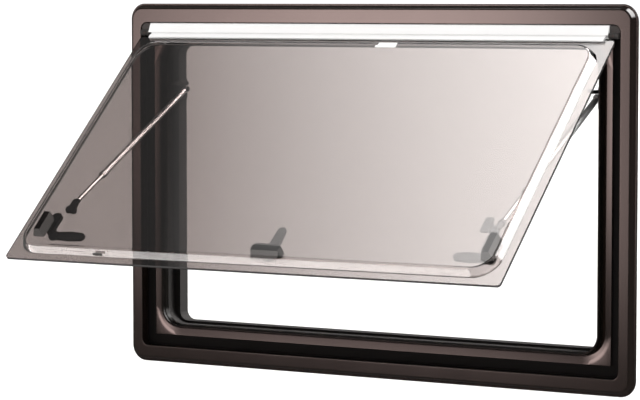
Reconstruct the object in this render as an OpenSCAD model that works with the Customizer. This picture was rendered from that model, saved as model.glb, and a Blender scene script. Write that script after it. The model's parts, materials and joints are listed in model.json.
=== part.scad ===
// Top-hinged caravan window with a moulded frame, a double acrylic sash,
// two telescopic stays and three latches. The sash is drawn open.
// The outside faces -Y, +Z is up. The origin is the middle of the bottom
// flange's back face, which rests on the outside of the wall.

/* [Flange] */
// Outer width of the flange
flange_width = 950; // [700:5:1200]
// Outer height of the flange
flange_height = 615; // [450:5:800]
// Width of the flange that overlaps the wall
wall_overlap = 25; // [20:1:35]
// Corner radius of the flange's outer edge
flange_corner_r = 27; // [20:1:40]
// How far the flange face stands off the wall
flange_depth = 12; // [8:0.5:16]
// Thickness of the thin lip at the outer edge
lip_depth = 2.6; // [1.5:0.1:4]
// Width of the thin lip
lip_width = 3.2; // [2:0.1:5]

/* [Frame section] */
// Inset of the flange's inner edge at the sides
inner_side = 26.5; // [24:0.5:32]
// Inset of the flange's inner edge at the bottom
inner_bottom = 28.5; // [26:0.5:34]
// Inset of the flange's inner edge at the top
inner_top = 33; // [30:0.5:38]
// Corner radius of the flange's inner edge
inner_corner_r = 11; // [8:0.5:16]
// Width of the drain channel at the sides
channel_width = 18.5; // [14:0.5:22]
// Depth of the channel floor behind the wall plane
channel_floor = 8; // [5:0.5:10]
// Depth of the flat deck behind the wall plane
deck_depth = 3; // [1:0.5:6]
// Width of the flat deck at the sides
deck_width = 15; // [10:0.5:20]
// How much deeper the deck's inner edge lies than its outer edge
deck_fall = 1.4; // [0:0.1:2]
// Width of the seal strip
seal_width = 6; // [4:0.5:8]
// Depth of the ledge behind the seal
ledge_depth = 28; // [20:1:34]
// Inset of the clear opening at the sides
opening_side = 78; // [72:1:90]
// Inset of the clear opening at the bottom
opening_bottom = 70; // [68:1:80]
// Inset of the clear opening at the top
opening_top = 74; // [70:1:84]
// Corner radius of the clear opening
opening_corner_r = 16; // [10:1:30]
// Depth of the frame body through the wall
body_depth = 52; // [34:1:60]
// Wall thickness of the moulding
wall = 4; // [3:0.5:6]

/* [Sash] */
// How far the sash is drawn open, in degrees
open_deg = 48.2; // [0:0.1:48.2]
// Gap between the sash edge and the flange's inner edge
sash_gap = 5.1; // [5:0.1:8]
// Corner radius of the sash
sash_corner_r = 6; // [3:0.5:10]
// Thickness of the outer pane
outer_t = 2.5; // [2:0.1:4]
// Thickness of the inner pane
inner_t = 2; // [1.5:0.1:3]
// Height of the dome pressed into the outer pane
dome_height = 14; // [8:0.5:18]
// Width of the flat margin round the dome
dome_margin = 13.4; // [8:0.2:20]
// Corner radius of the dome
dome_corner_r = 40; // [25:1:60]
// Distance of the dome's top edge from the hinge line
dome_top = 27; // [20:1:40]

/* [Hinge] */
// Distance of the hinge line below the flange's top edge
hinge_drop = 49.5; // [46:0.5:54]
// Distance of the hinge rail's ends from the flange's side edges
rail_margin = 45; // [42:0.5:60]
// Radius of the sash rail's bead
bead_r = 4; // [3:0.1:5]
// Running gap between bead and cup
bead_gap = 0.4; // [0.2:0.05:0.8]
// Wall thickness of the cup
cup_wall = 1.3; // [1:0.1:2]

/* [Stays] */
// Distance of the stays from the flange's side edges
stay_inset = 87; // [85:0.5:100]
// Depth of the jamb pivot behind the wall plane
jamb_y = 36; // [30:1:44]
// Distance of the jamb pivot below the flange's top edge
jamb_drop = 148; // [100:1:200]
// Distance of the sash pivot above the sash's lower edge
sash_pivot_rise = 121.9; // [110:0.5:160]
// Height of the sash pivot above the outer pane's margin
sash_pivot_off = 15; // [12:1:24]
// Length of bare rod between the tube and the rod's end sleeve
rod_seen = 81.5; // [78:0.5:120]
// Outer radius of the stay tube
tube_r = 5; // [4:0.25:6]
// Radius of the sliding rod
rod_r = 3.25; // [2.5:0.05:3.6]

/* [Latches] */
// Distance of the side latches from the flange's side edges
latch_inset = 81; // [79:0.5:120]
// Distance of the side lever pivots above the sash's lower edge
latch_rise = 69.9; // [60:0.1:90]
// Distance of the middle latch from the middle of the window
middle_latch_x = 21; // [0:1:60]
// Distance of the middle lever pivot above the sash's lower edge
middle_latch_rise = 50.9; // [47:0.1:60]
// Width of a latch block's face behind the outer pane
block_face_w = 11; // [8:0.5:14]
// Width of a latch block's foot on the inner pane
block_foot_w = 21; // [16:0.5:24]
// Length of a side latch block
side_block_l = 45; // [36:1:50]
// Length of the middle latch block
middle_block_l = 54; // [44:1:60]
// Length of a lever from its pivot to its tip
lever_length = 60; // [40:1:70]
// Width of a lever
lever_width = 18; // [12:1:20]
// Thickness of a lever
lever_t = 6; // [4:0.5:8]

/* [Hidden] */
$fn = 64;
eps = 0.5;
mid_z = flange_height / 2 - wall_overlap / 2;
top_z = flange_height - wall_overlap / 2;

// insets of each edge from the flange's outer edge: side, bottom, top
none = [0, 0, 0];
inner = [inner_side, inner_bottom, inner_top];
channel_top = 17;
rib = inner + [channel_width, channel_width, channel_top];
seal_top_drop = 6;
seal_out = [rib[0] + deck_width, rib[0] + deck_width, rib[0] + deck_width + seal_top_drop];
seal_in = seal_out + [seal_width, seal_width, seal_width];
opening = [opening_side, opening_bottom, opening_top];
body_play = 1;
body = [wall_overlap + body_play, wall_overlap + body_play, wall_overlap + body_play];
rib_corner_r = 2;
seal_out_r = 36;
seal_in_r = seal_out_r - seal_width;
body_corner_r = inner_corner_r - 2;
seal_base = 10;
slope_in = 9.6;
shoulder_r = 3;
edge_r = 1.5;

// hinge line
hinge_y = -flange_depth + 0.3;
hinge_z = top_z - hinge_drop;

// sash, in sash coordinates: s down from the hinge line, off inwards
half_w = flange_width / 2 - inner_side - sash_gap;
sash_len = hinge_z - (inner_bottom - wall_overlap / 2) - sash_gap;
pane_top = 10.2;
dome_bottom = sash_len - dome_margin + 2;
dome_w = 2 * (half_w - dome_margin);
dome_h = dome_bottom - dome_top;
dome_mid = (dome_bottom + dome_top) / 2;
dome_run = 4.5;
dome_r = 6;
pane_back = outer_t + inner_t;

// hinge
cup_r = bead_r + bead_gap;
cup_out = cup_r + cup_wall;
rail_face_y = 1.2;
rail_rise = hinge_drop - inner_top - 0.2;
rail_back = channel_floor - hinge_y;
neck_t = 3.2;
clamp_s = 6.8;
clamp_end = 14.4;
clamp_t = 3;
rail_length = flange_width - 2 * rail_margin;
sash_rail_length = rail_length - 10;
block_in = rail_length / 2 + 0.4;
block_out = flange_width / 2 - inner_side - 1;
cup_mouth_from = 172;
cup_mouth_to = 298;
cup_mouth_r = 30;
end_pin_r = 2;
end_boss_r = 4.8;

// stays
stay_x = flange_width / 2 - stay_inset;
sash_pivot_s = sash_len - sash_pivot_rise;
jamb_z = top_z - jamb_drop;
eye_r = 6;
eye_t = 6;
pin_r = 2.5;
pin_gap = 0.05;
bore_r = rod_r + 0.35;
bore_start = 20;
collar_l = 9;
collar_r = 6;
sleeve_l = 24;
sleeve_r = 4.6;
rod_end_play = 12.7;
jamb_x = flange_width / 2 - opening_side;
plate_t = 3;
bracket_in = stay_x - 11;
bracket_t = 5;
stud_l = 1.2;
sash_pivot_y = hinge_y - sash_pivot_s * sin(open_deg) + sash_pivot_off * cos(open_deg);
sash_pivot_z = hinge_z - sash_pivot_s * cos(open_deg) - sash_pivot_off * sin(open_deg);
stay_dy = sash_pivot_y - jamb_y;
stay_dz = sash_pivot_z - jamb_z;
stay_length = sqrt(stay_dy * stay_dy + stay_dz * stay_dz);
stay_deg = atan2(-stay_dy, -stay_dz);
tube_length = stay_length - sleeve_l - rod_seen;
shut_dy = hinge_y + sash_pivot_off - jamb_y;
shut_dz = hinge_z - sash_pivot_s - jamb_z;
stay_travel = stay_length - sqrt(shut_dy * shut_dy + shut_dz * shut_dz);
rod_inner_end = bore_start + stay_travel + rod_end_play;

// latches
latch_x = flange_width / 2 - latch_inset;
latch_s = sash_len - latch_rise;
middle_latch_s = sash_len - middle_latch_rise;
base_top = 16;
boss_top = base_top + 3.7;
lever_off = boss_top + 0.3;
latch_pin_r = 3;
lever_root_r = lever_width / 2;
side_base_s = latch_s - 14;
side_base_l = 40;
side_base_w = 18;
middle_base_l = 50;
middle_base_w = 20;
block_fall = 4;
side_block_at = [latch_x + 9.5, latch_s - 2];
middle_block_at = [middle_latch_x + 12.5, middle_latch_s + 12.5];
neck_r = 3.5;
neck_play = 0.2;
side_neck_at = [latch_x + 5, latch_s - 7];
middle_neck_at = [middle_latch_x + 5, middle_latch_s + 6];
vent_from_edge = 178.4;
vent_x = vent_from_edge - half_w;

// flat drawing plane: X across, Y up the wall, Z out of the wall
module stand_up() {
    rotate([90, 0, 0]) children();
}

module rounded(w, h, r) {
    square([w - 2 * r, h], center = true);
    square([w, h - 2 * r], center = true);
    for (sx = [-1, 1]) {
        for (sy = [-1, 1]) {
            translate([sx * (w / 2 - r), sy * (h / 2 - r)]) circle(r);
        }
    }
}

// rounded outline at an inset from the flange's outer edge
module outline(inset, r, grow = 0) {
    w = flange_width - 2 * inset[0] + 2 * grow;
    h = flange_height - inset[1] - inset[2] + 2 * grow;
    translate([0, mid_z + (inset[1] - inset[2]) / 2]) rounded(w, h, r);
}

// a layer of the frame between two depths behind the wall plane
module layer(y0, y1) {
    stand_up() translate([0, 0, -y1]) linear_extrude(y1 - y0) children();
}

// sweeps a profile round a rounded rectangle; the profile lies at x <= 0
module ring_sweep(w, h, r) {
    for (i = [0 : 3]) {
        along = i % 2 == 0 ? h : w;
        out = i % 2 == 0 ? w : h;
        rotate([0, 0, 90 * i]) {
            translate([out / 2, 0, 0]) {
                rotate([90, 0, 0]) linear_extrude(along - 2 * r, center = true) children();
            }
            translate([out / 2 - r, along / 2 - r, 0]) {
                rotate_extrude(angle = 90) translate([r, 0]) children();
            }
        }
    }
}

module frame_sweep(inset, r) {
    w = flange_width - 2 * inset[0];
    h = flange_height - inset[1] - inset[2];
    stand_up() translate([0, mid_z + (inset[1] - inset[2]) / 2, 0]) ring_sweep(w, h, r) children();
}

// outer band of the flange: lip, slope and rounded shoulder
module flange_band() {
    cy = flange_depth - shoulder_r;
    dx = slope_in - lip_width;
    dy = cy - lip_depth;
    far = sqrt(dx * dx + dy * dy);
    turn = atan2(dy, dx) + asin(shoulder_r / far);
    run = sqrt(far * far - shoulder_r * shoulder_r);
    tx = lip_width + run * cos(turn);
    ty = lip_depth + run * sin(turn);
    mirror([1, 0]) {
        polygon([
            [0, 0], [0, lip_depth - 0.8], [0.8, lip_depth], [lip_width, lip_depth],
            [tx, ty], [slope_in, cy], [slope_in, flange_depth],
            [slope_in + 4, flange_depth], [slope_in + 4, 0]
        ]);
        translate([slope_in, cy]) circle(shoulder_r);
    }
}

// cutter that rounds the flange's inner edge
module edge_cutter() {
    difference() {
        translate([-eps, flange_depth - edge_r]) square([edge_r + eps, edge_r + eps]);
        translate([edge_r, flange_depth - edge_r]) circle(edge_r);
    }
}

// cutter that lets the deck fall towards the seal
module deck_cutter() {
    polygon([
        [-eps, eps - deck_depth], [-eps, -deck_depth - deck_fall], [0, -deck_depth - deck_fall],
        [deck_width, -deck_depth], [deck_width, eps - deck_depth]
    ]);
}

module outer_frame() {
    color([0.2, 0.17, 0.16]) difference() {
        union() {
            frame_sweep(none, flange_corner_r) flange_band();
            layer(-flange_depth, 0) difference() {
                outline([slope_in, slope_in, slope_in], flange_corner_r - slope_in);
                outline(inner, inner_corner_r);
            }
            // body behind the flange
            layer(0, channel_floor) difference() {
                outline(body, body_corner_r);
                outline(inner, inner_corner_r);
            }
            layer(deck_depth, ledge_depth) difference() {
                outline(rib, rib_corner_r);
                outline(seal_out, seal_out_r);
            }
            layer(channel_floor, ledge_depth) difference() {
                outline(body, body_corner_r);
                outline(seal_out, seal_out_r);
            }
            layer(seal_base, ledge_depth) difference() {
                outline(rib, rib_corner_r);
                outline(seal_in, seal_in_r);
            }
            layer(ledge_depth, body_depth) difference() {
                outline(body, body_corner_r);
                outline(opening, opening_corner_r);
            }
        }
        frame_sweep(inner, inner_corner_r) edge_cutter();
        frame_sweep(seal_out, seal_out_r) deck_cutter();
        // groove in the back that keeps the walls thin
        layer(channel_floor + wall, body_depth + 1) difference() {
            outline(body + [wall, wall, wall], body_corner_r - wall);
            outline(seal_in - [wall, wall, wall] - [2, 2, 2], seal_in_r + 2 * wall);
        }
        layer(ledge_depth + wall, body_depth + 1) difference() {
            outline(body + [wall, wall, wall], body_corner_r - wall);
            outline(opening - [wall, wall, wall], opening_corner_r + wall);
        }
    }
}

// bulb seal round the deck's inner edge
module seal_section() {
    tip = -(hinge_y + pane_back + 0.35);
    lip_r = 2;
    translate([-seal_width, -seal_base]) square([seal_width, seal_base - deck_depth]);
    translate([-seal_width, -deck_depth - eps]) square([seal_width - 1, 2.5 + eps]);
    translate([-seal_width + 1, -deck_depth]) square([3, tip + deck_depth - lip_r]);
    translate([-seal_width + 2.5, tip - lip_r]) circle(lip_r);
}

module frame_seal() {
    color([0.08, 0.08, 0.08]) frame_sweep(seal_out, seal_out_r) seal_section();
}

// hinge rail on the frame: a plate that ends in an open cup
module rail_section() {
    far = sqrt(rail_face_y * rail_face_y + rail_rise * rail_rise);
    base = atan2(-rail_rise, -rail_face_y);
    turn = base - asin(cup_out / far);
    run = sqrt(far * far - cup_out * cup_out);
    tx = rail_face_y + run * cos(turn);
    ty = rail_rise + run * sin(turn);
    difference() {
        union() {
            polygon([
                [rail_face_y, rail_rise], [tx, ty], [0, 0],
                [rail_back, 2.5], [rail_back, rail_rise]
            ]);
            circle(cup_out);
        }
        circle(cup_r);
        polygon([
            [0, 0], [cup_mouth_r * cos(cup_mouth_from), cup_mouth_r * sin(cup_mouth_from)],
            [-cup_mouth_r, -cup_mouth_r],
            [cup_mouth_r * cos(cup_mouth_to), cup_mouth_r * sin(cup_mouth_to)]
        ]);
        translate([cup_out + 2.4, cup_out]) square([rail_back - cup_out - 4.4, rail_rise - cup_out - 2]);
    }
}

module along_x(l) {
    rotate([90, 0, 90]) linear_extrude(l, center = true) children();
}

module hinge_rail() {
    color([0.93, 0.93, 0.93]) {
        translate([0, hinge_y, hinge_z]) along_x(rail_length) rail_section();
    }
}

module hinge_end(side) {
    mid = (block_in + block_out) / 2;
    seat = 0.3;
    difference() {
        hinge_end_block(side, mid, seat);
        hinge_pin(side);
    }
}

module hinge_end_block(side, mid, seat) {
    intersection() {
        translate([side * mid, hinge_y, hinge_z]) along_x(block_out - block_in) {
            translate([0.8, 3]) square([rail_back - 0.8, rail_rise - 3.4]);
            circle(end_boss_r);
            translate([-1, 0]) square([rail_back + 1, 4]);
        }
        layer(-flange_depth - 2 * end_boss_r, body_depth) {
            outline(inner + [seat, seat, seat], inner_corner_r - seat);
        }
    }
}

module hinge_pin(side) {
    translate([side * (block_out - 9), hinge_y - end_boss_r + 0.9, hinge_z]) {
        rotate([90, 0, 0]) cylinder(h = 2.2, r = end_pin_r);
    }
}

// stays
module stay_frame(side) {
    translate([side * stay_x, jamb_y, jamb_z]) rotate([-stay_deg, 0, 0]) children();
}

module across(r, l) {
    rotate([0, 90, 0]) cylinder(h = l, r = r, center = true);
}

module stay_knuckle(side) {
    color([0.06, 0.06, 0.06]) mirror([side > 0 ? 0 : 1, 0, 0]) {
        translate([jamb_x - plate_t / 2, jamb_y + 2, jamb_z]) cube([plate_t, 24, 34], center = true);
        gap = eye_t / 2 + 0.6;
        boss_l = jamb_x - plate_t - stay_x - gap;
        translate([stay_x + gap + boss_l / 2, jamb_y, jamb_z]) across(eye_r, boss_l);
        pin_l = gap * 2;
        translate([stay_x, jamb_y, jamb_z]) across(pin_r, pin_l);
        translate([stay_x - gap - 0.9, jamb_y, jamb_z]) across(pin_r + 1.6, 1.8);
        // stop tab above the tube, reaching forward
        tab_w = jamb_x - stay_x + 1;
        tab_z = jamb_z + eye_r + 1.2;
        translate([stay_x - 1, jamb_y - 30, tab_z]) cube([tab_w, 38, 5.4]);
        translate([stay_x - 1, jamb_y - 30, tab_z + 2.7]) rotate([0, 90, 0]) cylinder(h = tab_w, r = 2.7);
    }
}

module stay_tube(side) {
    color([0.85, 0.85, 0.86]) stay_frame(side) difference() {
        union() {
            across(eye_r, eye_t);
            translate([0, 0, -14]) cylinder(h = 12, r = eye_r - 2.4);
            translate([0, 0, -tube_length]) cylinder(h = tube_length - 10, r = tube_r);
        }
        across(pin_r + pin_gap, eye_t + 6);
        translate([0, 0, -tube_length - 1]) cylinder(h = tube_length + 1 - bore_start, r = bore_r);
    }
}

module tube_collar(side) {
    color([0.75, 0.75, 0.76]) stay_frame(side) {
        translate([0, 0, -tube_length]) difference() {
            cylinder(h = collar_l, r = collar_r);
            translate([0, 0, -1]) cylinder(h = collar_l + 2, r = tube_r);
        }
    }
}

module stay_rod(side) {
    color([0.9, 0.9, 0.9]) stay_frame(side) {
        translate([0, 0, -stay_length + sleeve_l]) {
            cylinder(h = stay_length - sleeve_l - rod_inner_end, r = rod_r);
        }
    }
}

module rod_end(side) {
    color([0.06, 0.06, 0.06]) stay_frame(side) difference() {
        translate([0, 0, -stay_length]) {
            across(eye_r, eye_t);
            cylinder(h = sleeve_l, r = sleeve_r);
            translate([0, 0, sleeve_l - 8]) cylinder(h = 3, r = sleeve_r + 1);
        }
        translate([0, 0, -stay_length]) across(pin_r + pin_gap, 2 * eye_t);
    }
}

// sash
module on_sash() {
    translate([0, hinge_y, hinge_z]) rotate([-open_deg, 0, 0]) children();
}

// layer of the sash between two heights above the outer margin face
module sash_layer(off0, off1) {
    stand_up() translate([0, 0, -off1]) linear_extrude(off1 - off0) children();
}

module pane_outline() {
    translate([0, -(pane_top + sash_len) / 2]) rounded(2 * half_w, sash_len - pane_top, sash_corner_r);
}

module dome_outline(inset) {
    translate([0, -dome_mid]) {
        rounded(dome_w - 2 * inset, dome_h - 2 * inset, dome_corner_r - inset);
    }
}

module dome_solid_section(r, top, shift) {
    cx = dome_run + dome_r;
    cy = dome_height - dome_r;
    dx = cx - shift;
    far = sqrt(dx * dx + cy * cy);
    turn = atan2(cy, dx) + asin(r / far);
    run = sqrt(far * far - r * r);
    polygon([
        [shift, 0], [shift + run * cos(turn), run * sin(turn)],
        [cx, cy], [cx, top], [cx, 0]
    ]);
    intersection() {
        translate([cx, cy]) circle(r);
        translate([0, 0]) square([cx, top]);
    }
}

module dome_band() {
    mirror([1, 0]) difference() {
        dome_solid_section(dome_r, dome_height, 0);
        dome_hollow_section();
    }
}

module dome_hollow_section() {
    r = dome_r - outer_t;
    cx = dome_run + dome_r;
    cy = dome_height - dome_r;
    shift = outer_t + 0.4;
    dx = cx - shift;
    far = sqrt(dx * dx + cy * cy);
    turn = atan2(cy, dx) + asin(r / far);
    run = sqrt(far * far - r * r);
    polygon([
        [shift, -eps], [shift, 0], [shift + run * cos(turn), run * sin(turn)],
        [cx, cy], [cx + eps, cy], [cx + eps, -eps]
    ]);
    translate([cx, cy]) circle(r);
}

module outer_pane() {
    wall_foot = outer_t + 0.4;
    cx = dome_run + dome_r;
    color([0.45, 0.42, 0.4, 0.6]) on_sash() {
        sash_layer(0, outer_t) difference() {
            pane_outline();
            dome_outline(wall_foot);
        }
        stand_up() translate([0, -dome_mid, 0]) ring_sweep(dome_w, dome_h, dome_corner_r) dome_band();
        sash_layer(-dome_height, -dome_height + outer_t) dome_outline(cx);
    }
}

module inner_pane() {
    color([0.45, 0.42, 0.4, 0.6]) on_sash() sash_layer(outer_t, pane_back) difference() {
        pane_outline();
        neck_holes();
    }
}

// holes for the necks that join the latch blocks to their bases
module neck_holes() {
    r = neck_r + neck_play;
    for (side = [-1, 1]) {
        at_pane(side * side_neck_at[0], side_neck_at[1]) circle(r);
    }
    at_pane(middle_neck_at[0], middle_neck_at[1]) circle(r);
}

module sash_rail_section() {
    circle(bead_r);
    translate([-neck_t / 2, -clamp_s - 1]) square([neck_t, clamp_s + 1]);
    difference() {
        union() {
            translate([-clamp_t + 1, -clamp_end]) square([clamp_t * 2 + pane_back - 2, clamp_end - clamp_s]);
            translate([-clamp_t, -clamp_end]) square([clamp_t * 2 + pane_back, clamp_end - clamp_s - 1]);
            translate([-clamp_t + 1, -clamp_s - 1]) circle(1);
            translate([clamp_t + pane_back - 1, -clamp_s - 1]) circle(1);
        }
        translate([0, -clamp_end - 1]) square([pane_back, clamp_end + 1 - pane_top]);
    }
}

module sash_rail() {
    color([0.93, 0.93, 0.93]) on_sash() along_x(sash_rail_length) sash_rail_section();
}

module top_plate() {
    color([0.95, 0.95, 0.95]) on_sash() {
        sash_layer(-dome_height - 1, -dome_height) translate([57, -39]) square([34, 6], center = true);
        sash_layer(-dome_height - 0.7, -dome_height) translate([55, -44]) square([38, 5], center = true);
    }
}

module vent_plug() {
    color([0.3, 0.3, 0.3]) on_sash() {
        translate([vent_x, -dome_height / 2 + 0.5, -dome_bottom + 0.5]) cube([14, 3, 2.6], center = true);
        translate([vent_x, -dome_height / 2 + 0.5, -dome_bottom - 0.5]) cube([18, 4.4, 1.2], center = true);
    }
}

module at_pane(x, s) {
    translate([x, -s]) children();
}

module stay_bracket(side) {
    x0 = bracket_in;
    color([0.06, 0.06, 0.06]) on_sash() mirror([side > 0 ? 0 : 1, 0, 0]) {
        sash_layer(pane_back, pane_back + 3) {
            at_pane(x0 - 2, sash_pivot_s) rounded(14, 30, 3);
        }
        translate([x0, sash_pivot_off, -sash_pivot_s]) rotate([0, 90, 0]) cylinder(h = bracket_t, r = eye_r + 1);
        translate([x0, pane_back + 1, -sash_pivot_s - eye_r - 1]) {
            cube([bracket_t, sash_pivot_off - pane_back - 1, 2 * eye_r + 2]);
        }
        translate([x0 + bracket_t, sash_pivot_off, -sash_pivot_s]) rotate([0, 90, 0]) cylinder(h = stud_l, r = pin_r + 1);
    }
}

// chamfered block: the base of a latch, long side along Y of the drawing plane
module latch_block(l, w) {
    chamfer = 5;
    h = base_top - pane_back;
    slope = atan2(chamfer, h);
    intersection() {
        sash_layer(pane_back, base_top) rounded(w, l, w * 0.42);
        translate([0, pane_back, 0]) rotate([90, 0, 0]) mirror([0, 0, 1]) {
            rotate([90, 0, 0]) linear_extrude(l + 2, center = true) {
                polygon([
                    [-w / 2 - 0.1, -eps], [-w / 2 - 0.1, 2], [-w / 2 + chamfer, h + eps],
                    [w / 2 - chamfer, h + eps], [w / 2 + 0.1, 2], [w / 2 + 0.1, -eps]
                ]);
            }
        }
    }
}

// block in the cavity between the panes, its rounded end upwards
module pane_block(l) {
    face = outer_t - dome_height;
    intersection() {
        sash_layer(face, outer_t) {
            translate([0, l / 2 - block_foot_w / 2]) circle(block_foot_w / 2);
            translate([-block_foot_w / 2, -l / 2]) square([block_foot_w, l - block_foot_w / 2]);
        }
        linear_extrude(l + 2, center = true) {
            polygon([
                [-block_face_w / 2, face], [block_face_w / 2, face],
                [block_foot_w / 2, outer_t], [-block_foot_w / 2, outer_t]
            ]);
        }
        along_x(block_foot_w + 2) {
            polygon([
                [face, -l / 2 + block_fall], [face, l / 2 - block_fall / 2],
                [outer_t, l / 2], [outer_t, -l / 2]
            ]);
        }
    }
}

module neck(at) {
    sash_layer(outer_t - 1, pane_back + 1) at_pane(at[0], at[1]) circle(neck_r);
}

module latch_boss() {
    sash_layer(base_top - 2, boss_top) circle(lever_root_r - 1);
}

module side_base(side) {
    color([0.25, 0.23, 0.22]) on_sash() {
        difference() {
            union() {
                translate([side * side_block_at[0], 0, -side_block_at[1]]) pane_block(side_block_l);
                neck([side * side_neck_at[0], side_neck_at[1]]);
                translate([side * latch_x, 0, -side_base_s]) latch_block(side_base_l, side_base_w);
                translate([side * latch_x, 0, -latch_s]) latch_boss();
            }
            translate([side * latch_x, 0, -latch_s]) pin_bore();
        }
    }
}

module middle_base() {
    color([0.06, 0.06, 0.06]) on_sash() {
        difference() {
            union() {
                translate([middle_block_at[0], 0, -middle_block_at[1]]) rotate([0, 90, 0]) {
                    pane_block(middle_block_l);
                }
                neck(middle_neck_at);
                translate([middle_latch_x, 0, -middle_latch_s]) rotate([0, 90, 0]) {
                    latch_block(middle_base_l, middle_base_w);
                }
                translate([middle_latch_x, 0, -middle_latch_s]) latch_boss();
            }
            translate([middle_latch_x, 0, -middle_latch_s]) pin_bore();
        }
    }
}

module pin_bore() {
    sash_layer(base_top - 6, boss_top + 1) circle(latch_pin_r);
}

module latch_pin(x, s) {
    color([0.6, 0.6, 0.6]) on_sash() translate([x, 0, -s]) {
        sash_layer(base_top - 6, lever_off + lever_t + 0.3) circle(latch_pin_r);
        sash_layer(lever_off + lever_t + 0.3, lever_off + lever_t + 1.8) circle(latch_pin_r + 2);
    }
}

// lever, drawn along +X of the sash from its pivot
module lever_shape() {
    tip_r = lever_width / 2 - 1.5;
    waist = lever_width / 2 - 2.4;
    reach = lever_length - tip_r;
    belly = lever_width / 2;
    polygon([
        [0, -waist], [reach * 0.6, -belly + 0.3], [reach + tip_r * 0.3, -tip_r * 0.95],
        [reach + tip_r * 0.3, tip_r * 0.95], [reach * 0.6, belly - 0.3], [0, waist]
    ]);
    circle(lever_root_r);
    translate([reach, 0]) circle(tip_r);
    translate([reach * 0.6, 0]) circle(belly);
}

module latch_lever(x, s, turn) {
    color([0.06, 0.06, 0.06]) on_sash() translate([x, 0, -s]) difference() {
        union() {
            sash_layer(lever_off, lever_off + lever_t - 1.2) rotate([0, 0, turn]) lever_shape();
            sash_layer(lever_off + lever_t - 1.3, lever_off + lever_t) rotate([0, 0, turn]) {
                circle(lever_root_r - 1.2);
                translate([0, -lever_width / 2 + 4]) square([lever_length * 0.8, lever_width - 8]);
            }
        }
        sash_layer(lever_off - 1, lever_off + lever_t + 1) circle(latch_pin_r + pin_gap);
    }
}

outer_frame();
frame_seal();
hinge_rail();
color([0.2, 0.19, 0.18]) hinge_end(-1);  // hinge_end_left
color([0.2, 0.19, 0.18]) hinge_end(1);  // hinge_end_right
color([0.8, 0.8, 0.8]) hinge_pin(-1);  // hinge_pin_left
color([0.8, 0.8, 0.8]) hinge_pin(1);  // hinge_pin_right
stay_knuckle(-1);  // stay_knuckle_left
stay_knuckle(1);  // stay_knuckle_right
sash_rail();
outer_pane();
inner_pane();
top_plate();
vent_plug();
stay_bracket(-1);  // stay_bracket_left
stay_bracket(1);  // stay_bracket_right
side_base(-1);  // latch_base_left
middle_base();  // latch_base_middle
side_base(1);  // latch_base_right
latch_pin(-latch_x, latch_s);  // latch_pin_left
latch_pin(middle_latch_x, middle_latch_s);  // latch_pin_middle
latch_pin(latch_x, latch_s);  // latch_pin_right
latch_lever(-latch_x, latch_s, 0);  // latch_lever_left
latch_lever(middle_latch_x, middle_latch_s, 90);  // latch_lever_middle
latch_lever(latch_x, latch_s, 180);  // latch_lever_right
stay_tube(-1);  // stay_tube_left
stay_tube(1);  // stay_tube_right
tube_collar(-1);  // tube_collar_left
tube_collar(1);  // tube_collar_right
stay_rod(-1);  // stay_rod_left
stay_rod(1);  // stay_rod_right
rod_end(-1);  // rod_end_left
rod_end(1);  // rod_end_right
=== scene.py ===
"""Dresses the caravan window: materials, rounded edges, studio and camera."""

import json
import math

import bmesh
import bpy
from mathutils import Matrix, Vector

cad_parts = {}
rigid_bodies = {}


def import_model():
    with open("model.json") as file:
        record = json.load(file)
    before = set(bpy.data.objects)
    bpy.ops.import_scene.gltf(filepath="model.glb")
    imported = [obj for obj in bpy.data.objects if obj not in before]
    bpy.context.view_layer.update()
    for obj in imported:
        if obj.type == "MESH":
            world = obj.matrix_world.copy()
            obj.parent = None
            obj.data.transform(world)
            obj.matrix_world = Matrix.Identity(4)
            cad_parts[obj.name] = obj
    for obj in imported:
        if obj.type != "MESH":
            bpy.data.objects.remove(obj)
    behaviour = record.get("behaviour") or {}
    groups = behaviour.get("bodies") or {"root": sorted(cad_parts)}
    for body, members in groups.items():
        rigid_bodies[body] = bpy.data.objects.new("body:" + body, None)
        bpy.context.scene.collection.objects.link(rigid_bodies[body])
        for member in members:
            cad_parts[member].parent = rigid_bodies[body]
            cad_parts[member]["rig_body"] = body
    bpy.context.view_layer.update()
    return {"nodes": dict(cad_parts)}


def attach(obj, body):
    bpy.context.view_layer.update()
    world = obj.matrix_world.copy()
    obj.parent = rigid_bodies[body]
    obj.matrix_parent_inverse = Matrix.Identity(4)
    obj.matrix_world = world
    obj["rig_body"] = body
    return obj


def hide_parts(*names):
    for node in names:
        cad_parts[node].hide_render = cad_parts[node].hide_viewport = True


bl_info = {
    "name": "Caravan Window",
    "version": (1, 0, 0),
    "blender": (4, 5, 0),
    "location": "View3D > Sidebar > Window",
    "description": "Dresses the packed caravan window and sets it in a pale studio",
    "category": "Object",
}

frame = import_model()
NODES = frame["nodes"]
SIDES = ("left", "right")
LATCHES = ("left", "middle", "right")

# sockets of a mix node that mixes colours
COLOUR_A = 6
COLOUR_B = 7
COLOUR_RESULT = 2

# merging and shading of the CAD meshes
MERGE_DISTANCE = 2e-6
FLAT_ANGLE = math.radians(0.05)
SHARP_ANGLE = math.radians(32.0)
PANE_SHARP_ANGLE = math.radians(40.0)
PANE_GAP = 0.00006
FACE_TOLERANCE = 1e-5

# relief of plastic surfaces and depth where the frame's recesses begin; the recesses are matt and
# get painted shade, their base colour darkened to a share of the frame colour
BUMP_DISTANCE = 0.0005
EDGE_RADIUS = 0.0014
EDGE_SAMPLES = 6
RECESS_START = 0.005
RECESS_END = 0.0065
RECESS_ROUGHNESS = 0.85
RECESS_PAINTED_SHADE = 0.5

# acrylic: index and strength of the dye, which darkens long ways through a pane
DYE_COLOUR = (0.18, 0.06, 0.02, 1.0)
DOME_INDEX = 1.45
DOME_DYE = 35.0
PANE_INDEX = 1.75
PANE_DYE = 40.0

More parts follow.
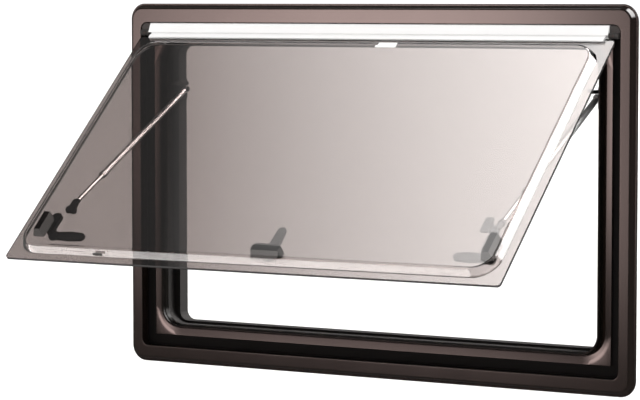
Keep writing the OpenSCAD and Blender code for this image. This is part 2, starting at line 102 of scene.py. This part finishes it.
# lamps: direction, inner and outer angle in degrees, strength
LOW_LAMP = ((-0.57, -0.66, -0.49), 9.0, 22.0, 16.0)
BACK_LAMP = ((0.55, 0.42, 0.72), 20.0, 34.0, 13.0)
SIDE_LAMP = ((0.70, 0.65, 0.27), 8.0, 17.0, 5.0)
SOFTBOX_STRENGTH = 5.3
FRONT_STRENGTH = 10.8
FILL = 0.1
EVEN_LIGHT = 1.2
EVEN_RISE = 0.02
WHITE_LIGHT = 1.2
SOFT_COLOUR = (1.0, 0.985, 0.975, 1.0)
WARM_COLOUR = (1.0, 0.74, 0.69, 1.0)
WHITE_COLOUR = (1.0, 1.0, 1.0, 1.0)

FLOOR_HALF = 60.0
FLOOR_GLOW = 0.26
SENSOR_WIDTH = 36.0
VIEW_END = 200.0


class WindowFinish(bpy.types.PropertyGroup):
    """Colours of the window's materials."""

    frame_colour: bpy.props.FloatVectorProperty(
        name="Frame colour",
        description="Moulded plastic of the frame",
        subtype="COLOR",
        size=3,
        min=0,
        max=1,
        default=(0.0105, 0.0068, 0.0054),
    )
    pane_tint: bpy.props.FloatVectorProperty(
        name="Pane tint",
        description="Colour that the flat inner pane lets through",
        subtype="COLOR",
        size=3,
        min=0,
        max=1,
        default=(0.335, 0.300, 0.290),
    )
    dome_tint: bpy.props.FloatVectorProperty(
        name="Dome tint",
        description="Colour that the domed outer pane lets through",
        subtype="COLOR",
        size=3,
        min=0,
        max=1,
        default=(0.93, 0.895, 0.885),
    )
    black_colour: bpy.props.FloatVectorProperty(
        name="Fittings colour",
        description="Black plastic of latches and stay ends",
        subtype="COLOR",
        size=3,
        min=0,
        max=1,
        default=(0.014, 0.0125, 0.0115),
    )
    rail_colour: bpy.props.FloatVectorProperty(
        name="Rail colour",
        description="Powder coat of the hinge rails",
        subtype="COLOR",
        size=3,
        min=0,
        max=1,
        default=(0.95, 0.95, 0.95),
    )
    metal_colour: bpy.props.FloatVectorProperty(
        name="Metal colour",
        description="Drawn aluminium of the stays",
        subtype="COLOR",
        size=3,
        min=0,
        max=1,
        default=(0.86, 0.86, 0.87),
    )


class WindowStage(bpy.types.PropertyGroup):
    """Camera and studio."""

    lens: bpy.props.FloatProperty(
        name="Lens",
        description="Focal length in millimetres on a 36 mm wide sensor",
        default=159.4,
        min=20,
        max=400,
    )
    camera_place: bpy.props.FloatVectorProperty(
        name="Camera place",
        description="Where the camera stands",
        subtype="TRANSLATION",
        unit="LENGTH",
        default=(2.2967, -4.0306, 0.6106),
    )
    camera_turn: bpy.props.FloatProperty(
        name="Camera turn",
        description="How far the camera stands to the right",
        subtype="ANGLE",
        default=math.radians(30.733),
    )
    camera_pitch: bpy.props.FloatProperty(
        name="Camera pitch",
        description="How far the camera looks down",
        subtype="ANGLE",
        default=math.radians(4.062),
    )
    floor_drop: bpy.props.FloatProperty(
        name="Floor drop",
        description="How far the floor lies below the window",
        unit="LENGTH",
        default=0.35,
        min=0.02,
        max=2,
    )


def finish_settings():
    """The scene's colours."""
    return bpy.context.scene.caravan_window_finish


def stage_settings():
    """The scene's camera and studio values."""
    return bpy.context.scene.caravan_window_stage


def node_group(name, kind, inputs, outputs):
    """A new shader node group with its two ends and its Object coordinates."""
    group = bpy.data.node_groups.new(name, "ShaderNodeTree")
    for label, default in inputs:
        in_kind = "NodeSocketFloat" if isinstance(default, float) else "NodeSocketColor"
        socket = group.interface.new_socket(label, in_out="INPUT", socket_type=in_kind)
        socket.default_value = default
    for label in outputs:
        group.interface.new_socket(label, in_out="OUTPUT", socket_type=kind)
    inside = group.nodes.new("NodeGroupInput").outputs
    out = group.nodes.new("NodeGroupOutput").inputs
    place = group.nodes.new("ShaderNodeTexCoord").outputs["Object"]
    return group, inside, out, place


def link(tree, start, end):
    """Joins an output to an input."""
    tree.links.new(start, end)


def math_node(tree, operation, *values):
    """A math node; each value is a number or a socket."""
    node = tree.nodes.new("ShaderNodeMath")
    node.operation = operation
    for socket, value in zip(node.inputs, values):
        if isinstance(value, float):
            socket.default_value = value
        else:
            link(tree, value, socket)
    return node.outputs[0]


def noise(group, place, detail, scale):
    """A noise texture; the scale is a number or a socket."""
    texture = group.nodes.new("ShaderNodeTexNoise")
    texture.inputs["Detail"].default_value = detail
    link(group, place, texture.inputs["Vector"])
    if isinstance(scale, float):
        texture.inputs["Scale"].default_value = scale
    else:
        link(group, scale, texture.inputs["Scale"])
    return texture.outputs["Fac"]


def grain_group():
    """Moulded grain: a fine height and a roughness that varies a little."""
    group, inside, out, place = node_group(
        "moulded_grain",
        "NodeSocketFloat",
        [("Scale", 900.0), ("Roughness", 0.3), ("Spread", 0.05)],
        ["Roughness", "Height"],
    )
    shifted = math_node(group, "SUBTRACT", noise(group, place, 4.0, 14.0), 0.5)
    spread = math_node(group, "MULTIPLY", shifted, inside["Spread"])
    rough = math_node(group, "ADD", inside["Roughness"], spread)
    link(group, rough, out["Roughness"])
    link(group, noise(group, place, 3.0, inside["Scale"]), out["Height"])


def drift_group():
    """A colour that drifts slightly between two tones."""
    group, inside, out, place = node_group(
        "tone_drift",
        "NodeSocketColor",
        [("Colour", (0.5, 0.5, 0.5, 1)), ("Second", (0.4, 0.4, 0.4, 1)), ("Scale", 9.0)],
        ["Colour"],
    )
    mix = group.nodes.new("ShaderNodeMix")
    mix.data_type = "RGBA"
    link(group, noise(group, place, 5.0, inside["Scale"]), mix.inputs["Factor"])
    link(group, inside["Colour"], mix.inputs[COLOUR_A])
    link(group, inside["Second"], mix.inputs[COLOUR_B])
    link(group, mix.outputs[COLOUR_RESULT], out["Colour"])


def depth_group():
    """1 in what lies deeper than a plane across the window, 0 in front of it."""
    group, inside, out, place = node_group(
        "recess_depth",
        "NodeSocketFloat",
        [("Start", RECESS_START), ("End", RECESS_END)],
        ["Mask"],
    )
    parts = group.nodes.new("ShaderNodeSeparateXYZ")
    link(group, place, parts.inputs["Vector"])
    fade = group.nodes.new("ShaderNodeMapRange")
    fade.interpolation_type = "SMOOTHSTEP"
    link(group, parts.outputs["Y"], fade.inputs["Value"])
    link(group, inside["Start"], fade.inputs["From Min"])
    link(group, inside["End"], fade.inputs["From Max"])
    link(group, fade.outputs["Result"], out["Mask"])


def use_group(tree, name, **values):
    """A shared node group in a material; the groups are built when first asked for."""
    if "moulded_grain" not in bpy.data.node_groups:
        grain_group()
        drift_group()
        depth_group()
    node = tree.nodes.new("ShaderNodeGroup")
    node.node_tree = bpy.data.node_groups[name]
    for label, value in values.items():
        node.inputs[label].default_value = value
    return node.outputs


def rgba(colour, share=1.0):
    """A colour with alpha, darkened by a share."""
    return (*[c * share for c in colour], 1.0)


def new_material(name, values):
    """A material and its Principled sockets, with plain values set."""
    material = bpy.data.materials.new(name)
    material.use_nodes = True
    sockets = material.node_tree.nodes["Principled BSDF"].inputs
    for label, value in values.items():
        sockets[label.replace("_", " ")].default_value = value
    return material, material.node_tree, sockets


def surface(
    name, colour, second=0.8, rough=0.3, spread=0.06, grain=900.0, depth=0.02, **values
):
    """A solid material with drifting colour and moulded grain."""
    material, tree, sockets = new_material(name, values)
    tone = use_group(tree, "tone_drift", Colour=rgba(colour), Second=rgba(colour, second))
    link(tree, tone["Colour"], sockets["Base Color"])
    skin = use_group(tree, "moulded_grain", Scale=grain, Roughness=rough, Spread=spread)
    link(tree, skin["Roughness"], sockets["Roughness"])
    bump = tree.nodes.new("ShaderNodeBump")
    bump.inputs["Strength"].default_value = depth
    bump.inputs["Distance"].default_value = BUMP_DISTANCE
    link(tree, skin["Height"], bump.inputs["Height"])
    link(tree, bump.outputs["Normal"], sockets["Normal"])
    return material


def matt_recess_and_painted_shade(material, rough, dark):
    """The recesses of a moulding are matt, and carry painted shade: their base colour is darkened
    below that of the faces, as if in shadow.
    """
    tree = material.node_tree
    sockets = tree.nodes["Principled BSDF"].inputs
    mask = use_group(tree, "recess_depth")["Mask"]
    # the higher roughness is the moulding's own; the darker base colour is painted shade
    for label, value in (("Roughness", rough), ("Base Color", rgba(dark))):
        before = sockets[label].links[0].from_socket
        mix = tree.nodes.new("ShaderNodeMix")
        first, second, result = "A", "B", "Result"
        if label == "Base Color":
            mix.data_type = "RGBA"
            first, second, result = COLOUR_A, COLOUR_B, COLOUR_RESULT
        link(tree, mask, mix.inputs["Factor"])
        link(tree, before, mix.inputs[first])
        mix.inputs[second].default_value = value
        link(tree, mix.outputs[result], sockets[label])


def round_edges(material, radius):
    """The edges of a moulding are shaded as if rounded."""
    tree = material.node_tree
    rounding = tree.nodes.new("ShaderNodeBevel")
    rounding.samples = EDGE_SAMPLES
    rounding.inputs["Radius"].default_value = radius
    link(tree, rounding.outputs["Normal"], tree.nodes["Bump"].inputs["Normal"])


def acrylic(name, tint, index, dye):
    """Clear tinted acrylic; the dye darkens long ways through it."""
    values = {
        "Base Color": rgba(tint),
        "Roughness": 0.0,
        "IOR": index,
        "Transmission Weight": 1.0,
    }
    material, tree, _ = new_material(name, values)
    absorption = tree.nodes.new("ShaderNodeVolumeAbsorption")
    absorption.inputs["Color"].default_value = DYE_COLOUR
    absorption.inputs["Density"].default_value = dye
    volume = tree.nodes["Material Output"].inputs["Volume"]
    link(tree, absorption.outputs["Volume"], volume)
    return material


def dress(node, material, angle=SHARP_ANGLE, name=None):
    """A merged, smooth-shaded copy of a node stands for it."""
    source = NODES[node]
    mesh = source.data.copy()
    work = bmesh.new()
    work.from_mesh(mesh)
    bmesh.ops.remove_doubles(work, verts=work.verts, dist=MERGE_DISTANCE)
    bmesh.ops.dissolve_limit(work, angle_limit=FLAT_ANGLE, verts=work.verts, edges=work.edges)
    work.to_mesh(mesh)
    work.free()
    for layer in ("custom_normal", "sharp_face", "sharp_edge"):
        found = mesh.attributes.get(layer)
        if found:
            mesh.attributes.remove(found)
    mesh.polygons.foreach_set("use_smooth", [True] * len(mesh.polygons))
    mesh.set_sharp_from_angle(angle=angle)
    piece = bpy.data.objects.new(name or node.replace("_", "-"), mesh)
    bpy.context.scene.collection.objects.link(piece)
    mesh.materials.clear()
    mesh.materials.append(material)
    flats = piece.modifiers.new("flat_faces", "WEIGHTED_NORMAL")
    flats.keep_sharp = True
    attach(piece, source["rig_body"])
    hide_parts(node)
    return piece


def part_panes(piece):
    """Draws the inner pane's outer face back by a hair, so light crosses two clear faces."""
    normal = max(piece.data.polygons, key=lambda face: face.area).normal.copy()
    if normal.y > 0:
        normal.negate()
    heights = [vertex.co.dot(normal) for vertex in piece.data.vertices]
    highest = max(heights)
    for vertex, height in zip(piece.data.vertices, heights):
        if highest - height < FACE_TOLERANCE:
            vertex.co -= normal * PANE_GAP


class WINDOW_OT_frame(bpy.types.Operator):
    """Finishes the moulded frame and its seal"""

    bl_idname = "caravan_window.frame"
    bl_label = "Frame and seal"

    def execute(self, context):
        colours = finish_settings()
        plastic = surface(
            "frame_plastic", colours.frame_colour, second=0.82, rough=0.10, spread=0.03,
            grain=1400.0, depth=0.015,
        )
        # painted shade: the recesses' base colour is darkened to a share of the frame colour,
        # standing in for the shade that falls in them
        dark = [RECESS_PAINTED_SHADE * part for part in colours.frame_colour]
        matt_recess_and_painted_shade(plastic, RECESS_ROUGHNESS, dark)
        round_edges(plastic, EDGE_RADIUS)
        rubber = surface(
            "seal_rubber", (0.006, 0.0045, 0.0035), rough=0.2, grain=700.0, depth=0.1,
            Specular_IOR_Level=0.25,
        )
        dress("outer_frame", plastic, name="frame")
        dress("frame_seal", rubber, name="seal")
        return {"FINISHED"}


class WINDOW_OT_hinge(bpy.types.Operator):
    """Finishes the hinge rails, their end blocks and pins"""

    bl_idname = "caravan_window.hinge"
    bl_label = "Hinge"

    def execute(self, context):
        colours = finish_settings()
        coat = surface(
            "white_coat", colours.rail_colour, second=0.97, rough=0.32, spread=0.03,
            grain=1600.0, depth=0.03, Coat_Weight=0.15,
        )
        grey = surface("grey_plastic", (0.045, 0.042, 0.04), rough=0.4, depth=0.06)
        steel = surface(
            "pin_steel", (0.12, 0.115, 0.11), rough=0.4, grain=300.0, Metallic=1.0
        )
        dress("hinge_rail", coat, name="hinge-rail-frame")
        dress("sash_rail", coat, name="hinge-rail-sash")
        for side in SIDES:
            dress(f"hinge_end_{side}", grey)
            dress(f"hinge_pin_{side}", steel)
        return {"FINISHED"}


class WINDOW_OT_panes(bpy.types.Operator):
    """Finishes the domed outer pane, the inner pane and the plate on them"""

    bl_idname = "caravan_window.panes"
    bl_label = "Panes"

    def execute(self, context):
        colours = finish_settings()
        clear = acrylic("domed_acrylic", colours.dome_tint, DOME_INDEX, DOME_DYE)
        tinted = acrylic("tinted_acrylic", colours.pane_tint, PANE_INDEX, PANE_DYE)
        dome = dress("outer_pane", clear, angle=PANE_SHARP_ANGLE)
        pane = dress("inner_pane", tinted, angle=PANE_SHARP_ANGLE)
        part_panes(pane)
        for piece in (dome, pane):
            piece.visible_shadow = False
            piece.visible_glossy = False
        white = surface("white_plate", (0.9, 0.9, 0.9), second=0.98, rough=0.2)
        dress("top_plate", white).visible_glossy = False
        grey = surface("plug_plastic", (0.09, 0.085, 0.08), rough=0.35)
        dress("vent_plug", grey)
        return {"FINISHED"}


class WINDOW_OT_stays(bpy.types.Operator):
    """Finishes the telescopic stays"""

    bl_idname = "caravan_window.stays"
    bl_label = "Stays"

    def execute(self, context):
        colours = finish_settings()
        tube = surface(
            "stay_aluminium", colours.metal_colour, second=0.94, rough=0.34, spread=0.08,
            grain=250.0, depth=0.02, Metallic=0.72,
        )
        rod = surface("stay_rod", (0.8, 0.8, 0.8), rough=0.16, grain=200.0, Metallic=0.85)
        black = surface("stay_black", colours.black_colour, rough=0.38, depth=0.08)
        for side in SIDES:
            for part, metal in (("stay_tube", tube), ("tube_collar", tube), ("stay_rod", rod)):
                dress(f"{part}_{side}", metal).visible_glossy = False
            for part in ("rod_end", "stay_knuckle", "stay_bracket"):
                dress(f"{part}_{side}", black)
        return {"FINISHED"}


class WINDOW_OT_latches(bpy.types.Operator):
    """Finishes the latch bases, levers and pins"""

    bl_idname = "caravan_window.latches"
    bl_label = "Latches"

    def execute(self, context):
        colours = finish_settings()
        black = surface("latch_black", colours.black_colour, rough=0.36, depth=0.08)
        block = surface(
            "latch_block", (0.014, 0.011, 0.009), rough=0.45, depth=0.06, Specular_IOR_Level=0.2
        )
        steel = surface("latch_pin_steel", (0.6, 0.6, 0.61), rough=0.3, Metallic=1.0)
        for place in LATCHES:
            dress(f"latch_base_{place}", block)
            dress(f"latch_lever_{place}", black)
            dress(f"latch_pin_{place}", steel)
        return {"FINISHED"}


def ramp(tree, way, direction, low, high, strength, smooth=False):
    """A gradient along a direction: 0 where the dot product is low, strength where it is high."""
    dot = tree.nodes.new("ShaderNodeVectorMath")
    dot.operation = "DOT_PRODUCT"
    dot.inputs[1].default_value = Vector(direction)
    link(tree, way, dot.inputs[0])
    fade = tree.nodes.new("ShaderNodeMapRange")
    fade.interpolation_type = "SMOOTHSTEP" if smooth else "LINEAR"
    fade.inputs["From Min"].default_value = low
    fade.inputs["From Max"].default_value = high
    fade.inputs["To Min"].default_value = 0.0
    fade.inputs["To Max"].default_value = strength
    link(tree, dot.outputs["Value"], fade.inputs["Value"])
    return fade.outputs["Result"]


def edge(tree, way, direction, low, high):
    """A soft edge: 0 below low, 1 above high."""
    return ramp(tree, way, direction, low, high, 1.0, smooth=True)


def band(tree, way, direction, start, low, high, end):
    """A soft-edged band along a direction: 1 from low to high, 0 before start and past end."""
    back = [-part for part in direction]
    rise = edge(tree, way, direction, start, low)
    return math_node(tree, "MULTIPLY", rise, edge(tree, way, back, -end, -high))


def lobe(tree, way, direction, inner, outer, strength):
    """Light of a soft round lamp in one direction: inner and outer are angles in degrees."""
    low = math.cos(math.radians(outer))
    high = math.cos(math.radians(inner))
    return ramp(tree, way, Vector(direction).normalized(), low, high, strength, smooth=True)


def chain(tree, operation, first, *others):
    """The sum or the product of several values."""
    result = first
    for other in others:
        result = math_node(tree, operation, result, other)
    return result


def softbox(tree, way):
    """A wide softbox above, brighter to the right."""
    return chain(
        tree,
        "MULTIPLY",
        ramp(tree, way, (1, 0, 0), -0.556, -0.425, SOFTBOX_STRENGTH),
        edge(tree, way, (0, 0, 1), 0.60, 0.74),
        edge(tree, way, (-1, 0, 0), 0.33, 0.41),
        band(tree, way, (0, 1, 0), -0.10, -0.04, 0.13, 0.20),
    )


def front_lamp(tree, way, crossed):
    """A long lamp in front on the left for the mouldings, kept off the panes' inner faces."""
    # seen by rays that crossed no clear face, or four and more
    from_two = math_node(tree, "ABSOLUTE", math_node(tree, "SUBTRACT", crossed, 2.0))
    return chain(
        tree,
        "MULTIPLY",
        math_node(tree, "GREATER_THAN", from_two, 1.5),
        edge(tree, way, (0.2, 0, 1), -0.220, -0.165),
        edge(tree, way, (0, 0, -1), -0.055, 0.010),
        band(tree, way, (1, 0, 0), -0.62, -0.50, -0.47, -0.388),
        ramp(tree, way, (0, -1, 0), 0.3, 0.5, FRONT_STRENGTH),
    )


def low_lamp(tree, way, crossed):
    """A low lamp in front, seen only in the dome's inside."""
    # seen by rays that crossed one or two clear faces
    return chain(
        tree,
        "MULTIPLY",
        lobe(tree, way, *LOW_LAMP),
        math_node(tree, "GREATER_THAN", crossed, 0.5),
        math_node(tree, "LESS_THAN", crossed, 2.5),
    )


def background(tree, colour, strength):
    """World light of one colour; the strength is a number or a socket."""
    node = tree.nodes.new("ShaderNodeBackground")
    node.inputs["Color"].default_value = colour
    if isinstance(strength, float):
        node.inputs["Strength"].default_value = strength
    else:
        link(tree, strength, node.inputs["Strength"])
    return node.outputs["Background"]


def studio_world(scene):
    """Soft studio light all round and a white background behind the window."""
    world = bpy.data.worlds.new("studio")
    scene.world = world
    world.use_nodes = True
    # the light differs by kind of ray, so it is found by the rays alone
    world.cycles.sampling_method = "NONE"
    tree = world.node_tree
    tree.nodes.clear()
    way = tree.nodes.new("ShaderNodeTexCoord").outputs["Generated"]
    rays = tree.nodes.new("ShaderNodeLightPath").outputs
    crossed = rays["Transmission Depth"]
    matt = rays["Is Diffuse Ray"]

    # the back and side lamps light the stays
    lamps = chain(
        tree,
        "ADD",
        softbox(tree, way),
        low_lamp(tree, way, crossed),
        lobe(tree, way, *BACK_LAMP),
        lobe(tree, way, *SIDE_LAMP),
        FILL,
    )
    # matt surfaces get an even light
    even = ramp(tree, way, (0, 0, 1), -1.0, 1.0, EVEN_RISE)
    pick = tree.nodes.new("ShaderNodeMix")
    link(tree, matt, pick.inputs["Factor"])
    link(tree, lamps, pick.inputs["A"])
    link(tree, math_node(tree, "ADD", even, EVEN_LIGHT), pick.inputs["B"])
    front = front_lamp(tree, way, crossed)
    warm = math_node(tree, "MULTIPLY", front, math_node(tree, "SUBTRACT", 1.0, matt))
    light = tree.nodes.new("ShaderNodeAddShader")
    link(tree, background(tree, SOFT_COLOUR, pick.outputs["Result"]), light.inputs[0])
    link(tree, background(tree, WARM_COLOUR, warm), light.inputs[1])

    # the camera sees white, and so do rays that go straight through the panes
    through = chain(
        tree,
        "MULTIPLY",
        rays["Is Transmission Ray"],
        math_node(tree, "LESS_THAN", rays["Glossy Depth"], 0.5),
        edge(tree, way, (0, 0, -1), -0.5, -0.35),
    )
    mix = tree.nodes.new("ShaderNodeMixShader")
    link(tree, math_node(tree, "MAXIMUM", rays["Is Camera Ray"], through), mix.inputs["Fac"])
    link(tree, light.outputs["Shader"], mix.inputs[1])
    link(tree, background(tree, WHITE_COLOUR, WHITE_LIGHT), mix.inputs[2])
    out = tree.nodes.new("ShaderNodeOutputWorld")
    link(tree, mix.outputs["Shader"], out.inputs["Surface"])


class WINDOW_OT_stage(bpy.types.Operator):
    """Sets the floor, the studio light and the camera"""

    bl_idname = "caravan_window.stage"
    bl_label = "Stage"

    def execute(self, context):
        scene = context.scene
        settings = stage_settings()
        scene.view_settings.view_transform = "Standard"
        studio_world(scene)

        work = bmesh.new()
        bmesh.ops.create_grid(work, x_segments=1, y_segments=1, size=FLOOR_HALF)
        bmesh.ops.translate(work, verts=work.verts, vec=(0, 0, -settings.floor_drop))
        mesh = bpy.data.meshes.new("floor")
        work.to_mesh(mesh)
        work.free()
        floor = bpy.data.objects.new("floor", mesh)
        scene.collection.objects.link(floor)
        pale = surface(
            "pale_floor", (0.85, 0.85, 0.85), second=0.99, rough=0.8, grain=20.0,
            Emission_Color=WHITE_COLOUR, Emission_Strength=FLOOR_GLOW,
        )
        mesh.materials.append(pale)
        floor.visible_glossy = False

        data = bpy.data.cameras.new("camera")
        data.lens = settings.lens
        data.sensor_width = SENSOR_WIDTH
        data.clip_end = VIEW_END
        camera = bpy.data.objects.new("camera", data)
        scene.collection.objects.link(camera)
        camera.location = settings.camera_place
        camera.rotation_euler = (
            math.radians(90) - settings.camera_pitch,
            0.0,
            settings.camera_turn,
        )
        scene.camera = camera
        return {"FINISHED"}


class WINDOW_PT_panel(bpy.types.Panel):
    """Lists the window's pieces and settings"""

    bl_idname = "WINDOW_PT_panel"
    bl_label = "Caravan Window"
    bl_space_type = "VIEW_3D"
    bl_region_type = "UI"
    bl_category = "Window"

    def draw(self, context):
        layout = self.layout
        for group in (finish_settings(), stage_settings()):
            for name in group.__annotations__:
                layout.prop(group, name)
        for operator in OPERATORS:
            layout.operator(operator.bl_idname)


OPERATORS = (
    WINDOW_OT_stage,
    WINDOW_OT_frame,
    WINDOW_OT_hinge,
    WINDOW_OT_panes,
    WINDOW_OT_stays,
    WINDOW_OT_latches,
)
CLASSES = (WindowFinish, WindowStage, *OPERATORS, WINDOW_PT_panel)


def register():
    for item in CLASSES:
        bpy.utils.register_class(item)
    bpy.types.Scene.caravan_window_finish = bpy.props.PointerProperty(type=WindowFinish)
    bpy.types.Scene.caravan_window_stage = bpy.props.PointerProperty(type=WindowStage)


def unregister():
    del bpy.types.Scene.caravan_window_stage
    del bpy.types.Scene.caravan_window_finish
    for item in reversed(CLASSES):
        bpy.utils.unregister_class(item)


def main():
    register()
    bpy.ops.caravan_window.stage()
    bpy.ops.caravan_window.frame()
    bpy.ops.caravan_window.hinge()
    bpy.ops.caravan_window.panes()
    bpy.ops.caravan_window.stays()
    bpy.ops.caravan_window.latches()


if __name__ == "__main__":
    main()
